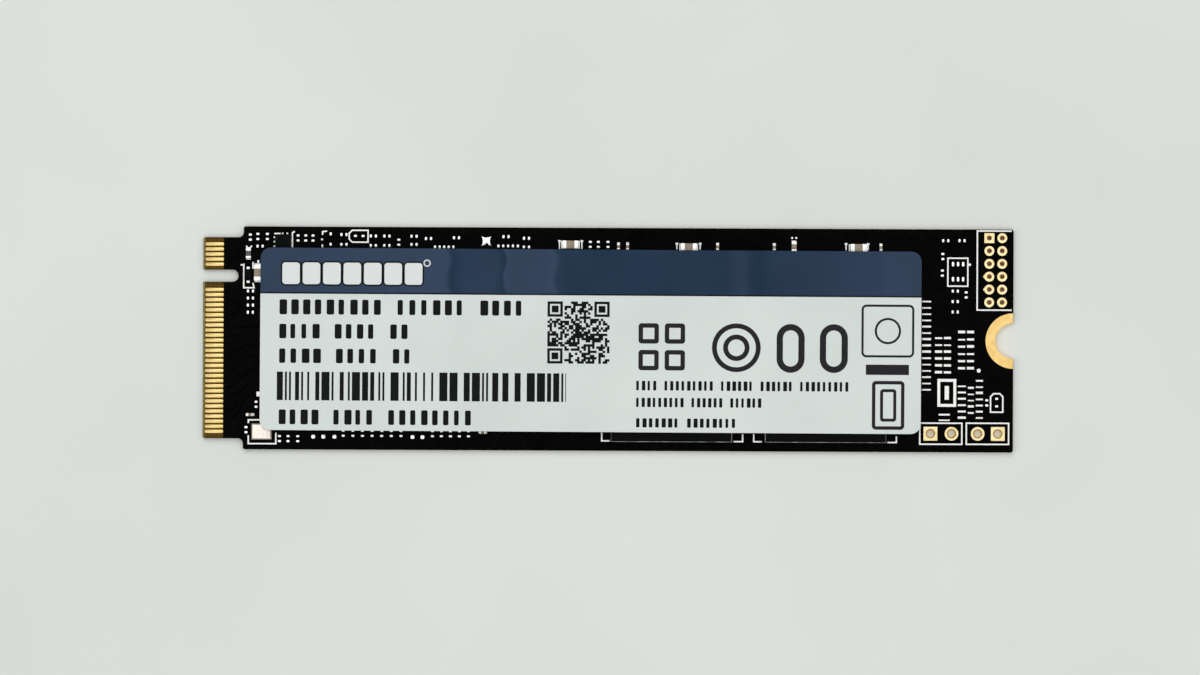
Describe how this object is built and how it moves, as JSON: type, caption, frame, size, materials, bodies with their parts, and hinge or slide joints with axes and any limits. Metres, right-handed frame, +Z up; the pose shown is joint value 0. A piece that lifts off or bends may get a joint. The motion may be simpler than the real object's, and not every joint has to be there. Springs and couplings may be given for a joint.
{
  "type": "solid state drive",
  "caption": "Gumstick solid state drive: narrow black board with a keyed gold edge connector, a half-moon screw notch at the far end, and a blue and white label over its chips.",
  "frame": {"origin": "middle of the board, at the lowest plane of the copper on its underside", "axes": "+X from the edge connector to the screw notch, +Y to the long edge that the key notch is nearer to, +Z up, out of the chip side"},
  "size_m": [0.08, 0.022, 0.0022],
  "materials": {
    "board": "black solder mask",
    "laminate": "bare glass epoxy",
    "contact_gold": "plated gold",
    "solder": "bright solder",
    "board_print": "white screen print",
    "label_film": "satin film",
    "moulding": "matt black moulding",
    "ceramic": "fired ceramic",
    "resistor": "glazed ceramic",
    "ferrite": "pressed ferrite",
    "can_metal": "plated lid"
  },
  "bodies": {
    "root": {"circuit_board": "board", "label": "label_film", "controller_chip": "moulding", "cache_chip": "moulding", "flash_chip_1": "moulding", "flash_chip_2": "moulding", "load_switch": "moulding", "power_chip": "moulding", "power_inductor_1": "ferrite", "power_inductor_2": "ferrite", "power_inductor_3": "ferrite", "crystal": "can_metal", "input_diode": "moulding", "input_capacitor": "ceramic", "input_resistor": "resistor", "strap_resistor": "resistor", "flash_capacitor": "ceramic", "row_capacitor_1": "ceramic", "row_capacitor_2": "ceramic", "row_capacitor_3": "ceramic", "small_capacitor_1": "ceramic", "small_capacitor_2": "ceramic", "small_capacitor_3": "ceramic", "small_capacitor_4": "ceramic", "small_capacitor_5": "ceramic", "small_capacitor_6": "ceramic", "small_capacitor_7": "ceramic", "bulk_capacitor_1": "ceramic", "bulk_capacitor_2": "ceramic", "bulk_capacitor_3": "ceramic", "bulk_capacitor_4": "ceramic", "bulk_capacitor_5": "ceramic", "bulk_capacitor_6": "ceramic", "controller_capacitor_1": "ceramic", "controller_capacitor_2": "ceramic", "controller_capacitor_3": "ceramic", "controller_capacitor_4": "ceramic", "controller_capacitor_5": "ceramic", "controller_capacitor_6": "ceramic", "flash_bypass_1": "ceramic", "flash_bypass_2": "ceramic", "flash_bypass_3": "ceramic", "flash_bypass_4": "ceramic"}
  },
  "joints": []
}
